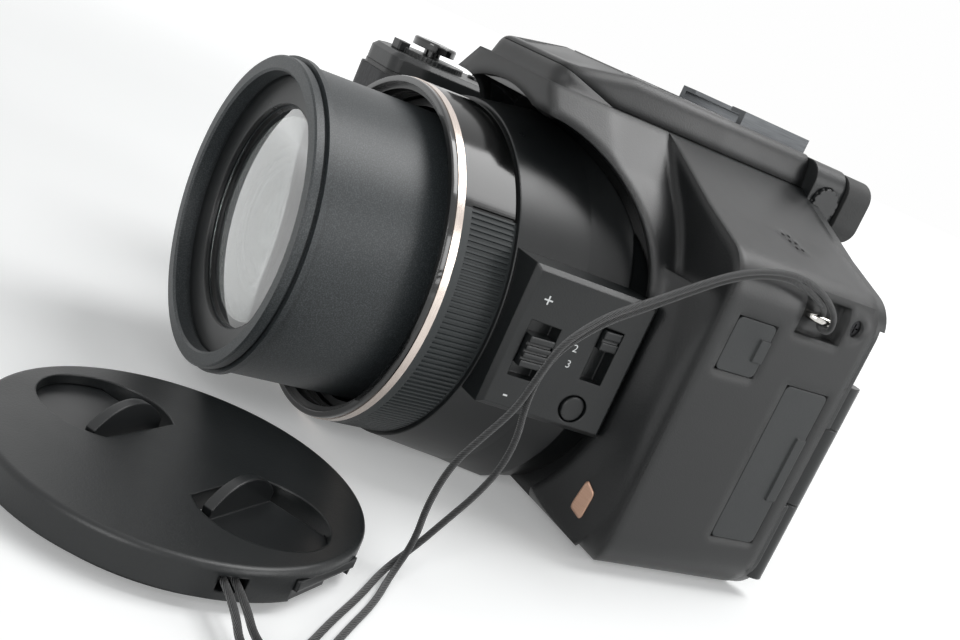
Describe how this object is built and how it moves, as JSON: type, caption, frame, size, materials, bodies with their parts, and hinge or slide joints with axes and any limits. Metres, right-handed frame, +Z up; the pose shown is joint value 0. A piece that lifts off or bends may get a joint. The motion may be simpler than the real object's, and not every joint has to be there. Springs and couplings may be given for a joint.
{
  "type": "bridge camera",
  "caption": "Bridge camera with an extending zoom lens, swing-out monitor, pop-up flash, working dials, buttons and doors, and a lens cap on a thin leash.",
  "frame": {"origin": "mouth of the tripod socket, in the middle of the base under the lens axis", "axes": "-Y the way the lens points, +Z up, +X the camera's own left, the side with the doors"},
  "size_m": [0.1637, 0.1618, 0.085],
  "materials": {
    "moulded_black_plastic": "fine matt moulded texture",
    "gloss_black_plastic": "polished",
    "satin_black_metal": "satin black anodised",
    "bright_metal": "polished and brushed",
    "shoe_metal": "brown bright plating",
    "black_rubber": "matt",
    "clear_glass": "coated",
    "screen_glass": "dark gloss",
    "circuit_board": "solder resist",
    "sheet_steel": "plain",
    "brass": "turned",
    "dark_screw_steel": "blackened",
    "woven_cord": "tight round weave"
  },
  "bodies": {
    "camera_body": {"front_case": "moulded_black_plastic", "rear_case": "moulded_black_plastic", "top_cover": "moulded_black_plastic", "hump_cover": "moulded_black_plastic", "grip_rubber": "black_rubber", "lens_housing": "moulded_black_plastic", "crescent_arch": "gloss_black_plastic", "barrel_sleeve": "satin_black_metal", "front_trim_ring": "gloss_black_plastic", "chrome_ring": "bright_metal", "ribbed_ring": "gloss_black_plastic", "side_panel": "moulded_black_plastic", "hot_shoe": "shoe_metal", "eyecup": "black_rubber", "viewfinder_unit": "moulded_black_plastic", "strap_lugs": "bright_metal", "chassis": "sheet_steel", "main_board": "circuit_board", "sensor_unit": "sheet_steel", "battery": "moulded_black_plastic", "tripod_socket": "brass", "case_screws": "dark_screw_steel", "speaker": "sheet_steel", "port_sockets": "sheet_steel", "cap_body": "moulded_black_plastic", "leash": "woven_cord"},
    "lens_tube": {"lens_tube": "satin_black_metal", "name_ring": "satin_black_metal", "front_glass": "clear_glass"},
    "monitor": {"lcd_frame": "moulded_black_plastic", "lcd_screen": "screen_glass", "lcd_hinge": "moulded_black_plastic"},
    "mid_tube": {"mid_tube": "satin_black_metal"},
    "zoom_group": {"zoom_group": "satin_black_metal"},
    "zoom_rocker": {"zoom_rocker": "moulded_black_plastic"},
    "focus_slider": {"focus_slider": "moulded_black_plastic"},
    "focus_button": {"focus_button": "moulded_black_plastic"},
    "shutter_button": {"shutter_button": "gloss_black_plastic"},
    "zoom_lever": {"zoom_lever": "moulded_black_plastic"},
    "mode_dial": {"mode_dial": "moulded_black_plastic"},
    "power_switch": {"power_switch": "moulded_black_plastic"},
    "burst_button": {"burst_button": "moulded_black_plastic"},
    "movie_button": {"movie_button": "moulded_black_plastic"},
    "flash_head": {"flash_head": "moulded_black_plastic"},
    "flash_button": {"flash_button": "moulded_black_plastic"},
    "rear_dial": {"rear_dial": "moulded_black_plastic"},
    "evf_button": {"evf_button": "moulded_black_plastic"},
    "lock_button": {"lock_button": "moulded_black_plastic"},
    "play_button": {"play_button": "moulded_black_plastic"},
    "display_button": {"display_button": "moulded_black_plastic"},
    "quick_menu_button": {"quick_menu_button": "moulded_black_plastic"},
    "four_way_pad": {"four_way_pad": "moulded_black_plastic"},
    "set_button": {"set_button": "moulded_black_plastic"},
    "dioptre_dial": {"dioptre_dial": "moulded_black_plastic"},
    "jack_door": {"jack_door": "black_rubber"},
    "port_door": {"port_door": "black_rubber"},
    "battery_door": {"battery_door": "moulded_black_plastic"},
    "battery_latch": {"battery_latch": "moulded_black_plastic"},
    "cap_clip_left": {"cap_clip_left": "moulded_black_plastic"},
    "cap_clip_right": {"cap_clip_right": "moulded_black_plastic"}
  },
  "joints": [
    {"name": "zoom", "type": "slide", "parent": "camera_body", "child": "lens_tube", "axis": [0, -1, 0], "range_m": [-0.0223, 0.022]},
    {"name": "mid_tube_zoom", "type": "slide", "parent": "camera_body", "child": "mid_tube", "axis": [0, -1, 0], "range_m": [-0.0112, 0.0111]},
    {"name": "zoom_group_zoom", "type": "slide", "parent": "camera_body", "child": "zoom_group", "axis": [0, -1, 0], "range_m": [-0.0135, 0.0133]},
    {"name": "zoom_rock", "type": "slide", "parent": "camera_body", "child": "zoom_rocker", "axis": [0, 0, 1], "range_m": [-0.0018, 0.0018], "stiffness_N_per_m": 400},
    {"name": "focus_select", "type": "slide", "parent": "camera_body", "child": "focus_slider", "axis": [0, 0, 1], "range_m": [-0.0056, 0]},
    {"name": "focus_press", "type": "slide", "parent": "camera_body", "child": "focus_button", "axis": [-1, 0, 0], "range_m": [0, 0.0006], "stiffness_N_per_m": 400},
    {"name": "shutter_press", "type": "slide", "parent": "camera_body", "child": "shutter_button", "axis": [0, 0, -1], "range_m": [0, 0.0012], "stiffness_N_per_m": 400},
    {"name": "zoom_lever_turn", "type": "hinge", "parent": "camera_body", "child": "zoom_lever", "pos_m": [-0.0585, -0.025, 0.067], "axis": [0, 0, 1], "range_deg": [-25, 25], "stiffness_Nm_per_rad": 0.02},
    {"name": "mode_turn", "type": "hinge", "parent": "camera_body", "child": "mode_dial", "pos_m": [-0.0385, 0.004, 0.068], "axis": [0, 0, 1], "continuous": true},
    {"name": "power_slide", "type": "slide", "parent": "camera_body", "child": "power_switch", "axis": [0, 1, 0], "range_m": [0, 0.0044]},
    {"name": "burst_press", "type": "slide", "parent": "camera_body", "child": "burst_button", "axis": [0, 0, -1], "range_m": [0, 0.0006], "stiffness_N_per_m": 400},
    {"name": "movie_press", "type": "slide", "parent": "camera_body", "child": "movie_button", "axis": [0, 0, -1], "range_m": [0, 0.0006], "stiffness_N_per_m": 400},
    {"name": "flash_lift", "type": "hinge", "parent": "camera_body", "child": "flash_head", "pos_m": [0, -0.0116, 0.0802], "axis": [-1, 0, 0], "range_deg": [0, 55], "stiffness_Nm_per_rad": 0.02},
    {"name": "flash_release", "type": "slide", "parent": "camera_body", "child": "flash_button", "axis": [1, 0, 0], "range_m": [0, 0.0006], "stiffness_N_per_m": 400},
    {"name": "monitor_swing", "type": "hinge", "parent": "camera_body", "child": "monitor", "pos_m": [0.0486, 0.02715, 0.02945], "axis": [0, 0, -1], "range_deg": [0, 180]},
    {"name": "thumb_wheel", "type": "hinge", "parent": "camera_body", "child": "rear_dial", "pos_m": [-0.061, 0.0214, 0.0568], "axis": [0, 0, 1], "continuous": true},
    {"name": "evf_press", "type": "slide", "parent": "camera_body", "child": "evf_button", "axis": [0, -1, 0], "range_m": [0, 0.0006], "stiffness_N_per_m": 400},
    {"name": "lock_press", "type": "slide", "parent": "camera_body", "child": "lock_button", "axis": [0, -1, 0], "range_m": [0, 0.0006], "stiffness_N_per_m": 400},
    {"name": "play_press", "type": "slide", "parent": "camera_body", "child": "play_button", "axis": [0, -1, 0], "range_m": [0, 0.0006], "stiffness_N_per_m": 400},
    {"name": "display_press", "type": "slide", "parent": "camera_body", "child": "display_button", "axis": [0, -1, 0], "range_m": [0, 0.0006], "stiffness_N_per_m": 400},
    {"name": "quick_menu_press", "type": "slide", "parent": "camera_body", "child": "quick_menu_button", "axis": [0, -1, 0], "range_m": [0, 0.0006], "stiffness_N_per_m": 400},
    {"name": "pad_press", "type": "slide", "parent": "camera_body", "child": "four_way_pad", "axis": [0, -1, 0], "range_m": [0, 0.0006], "stiffness_N_per_m": 400},
    {"name": "set_press", "type": "slide", "parent": "camera_body", "child": "set_button", "axis": [0, -1, 0], "range_m": [0, 0.0006], "stiffness_N_per_m": 400},
    {"name": "dioptre_turn", "type": "hinge", "parent": "camera_body", "child": "dioptre_dial", "pos_m": [0.021, 0.0286, 0.0745], "axis": [1, 0, 0], "range_deg": [-120, 120]},
    {"name": "jack_door_swing", "type": "hinge", "parent": "camera_body", "child": "jack_door", "pos_m": [0.052, -0.0091, 0.04825], "axis": [0, 0, -1], "range_deg": [0, 110]},
    {"name": "port_door_swing", "type": "hinge", "parent": "camera_body", "child": "port_door", "pos_m": [0.052, 0.0093, 0.028], "axis": [0, 0, -1], "range_deg": [0, 110]},
    {"name": "battery_door_swing", "type": "hinge", "parent": "camera_body", "child": "battery_door", "pos_m": [-0.0525, -0.0135, 0], "axis": [0, -1, 0], "range_deg": [0, 100]},
    {"name": "battery_latch_slide", "type": "slide", "parent": "battery_door", "child": "battery_latch", "axis": [1, 0, 0], "range_m": [0, 0.003]},
    {"name": "cap_clip_left_pinch", "type": "slide", "parent": "camera_body", "child": "cap_clip_left", "axis": [0.8192, 0.5736, 0], "range_m": [0, 0.002], "stiffness_N_per_m": 400},
    {"name": "cap_clip_right_pinch", "type": "slide", "parent": "camera_body", "child": "cap_clip_right", "axis": [-0.8192, -0.5736, 0], "range_m": [0, 0.002], "stiffness_N_per_m": 400}
  ],
  "couplings": [
    {"joint": "mid_tube_zoom", "follows": "zoom", "ratio": 0.5},
    {"joint": "zoom_group_zoom", "follows": "zoom", "ratio": 0.6}
  ]
}
